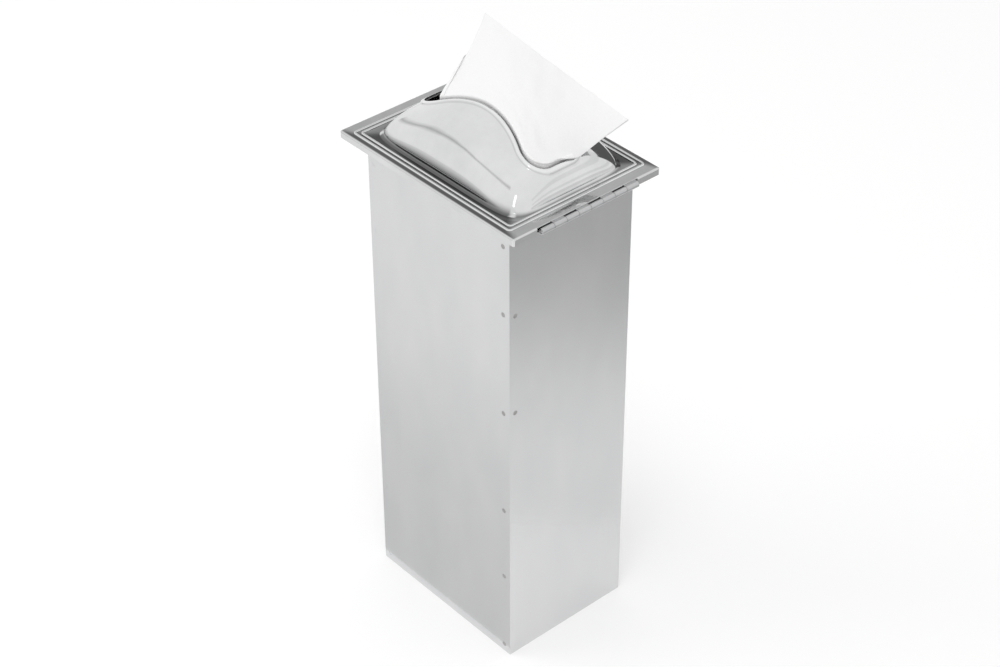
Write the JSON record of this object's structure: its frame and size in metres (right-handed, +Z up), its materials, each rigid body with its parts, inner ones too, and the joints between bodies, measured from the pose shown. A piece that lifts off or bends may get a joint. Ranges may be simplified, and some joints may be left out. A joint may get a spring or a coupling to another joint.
{
  "type": "built-in napkin dispenser",
  "caption": "Deep metal tank hung in a counter cut-out, with a hinged domed faceplate, an hourglass slot, a sprung platform and one napkin drawn half out.",
  "frame": {"origin": "centre of the underside of the tank", "axes": "+Z up through the slot, +X towards the hinge end, the long walls face -Y and +Y"},
  "size_m": [0.2161, 0.1544, 0.5253],
  "materials": {
    "tank_steel": "matt rolled sheet, spot welded",
    "faceplate_chrome": "bright chrome plate on pressed steel",
    "hinge_steel": "bright plated hinge stock",
    "zinc_steel": "zinc plated pressings and rivets",
    "spring_steel": "drawn spring steel",
    "glide_nylon": "natural nylon",
    "napkin_paper": "soft white tissue paper"
  },
  "bodies": {
    "tank": {"tank_front_panel": "tank_steel", "tank_back_panel": "tank_steel", "tank_hinge_end_panel": "tank_steel", "tank_catch_end_panel": "tank_steel", "tank_bottom_pan": "tank_steel", "spring_seat": "zinc_steel", "spring_seat_rivets": "zinc_steel", "hinge_fixed_leaf": "hinge_steel", "hinge_pin": "hinge_steel", "hinge_rivets": "zinc_steel", "catch_spring": "spring_steel", "catch_rivets": "zinc_steel", "follower_spring": "spring_steel"},
    "cover": {"cover_faceplate": "faceplate_chrome", "hinge_cover_leaf": "hinge_steel"},
    "follower": {"follower_platform": "tank_steel", "follower_spring_cup": "zinc_steel", "follower_cup_rivets": "zinc_steel", "follower_glides": "glide_nylon", "napkin_stack": "napkin_paper"},
    "napkin": {"drawn_napkin": "napkin_paper"}
  },
  "joints": [
    {"name": "cover_hinge", "type": "hinge", "parent": "tank", "child": "cover", "pos_m": [0.106, 0, 0.4505], "axis": [0, 1, 0], "range_deg": [0, 105]},
    {"name": "follower_lift", "type": "slide", "parent": "tank", "child": "follower", "axis": [0, 0, 1], "range_m": [-0.3, 0], "stiffness_N_per_m": 165, "springref_m": 0.12, "deforming": ["follower_spring"]},
    {"name": "napkin_pull", "type": "slide", "parent": "cover", "child": "napkin", "axis": [0, 0, 1], "range_m": [0, 0.08]}
  ]
}
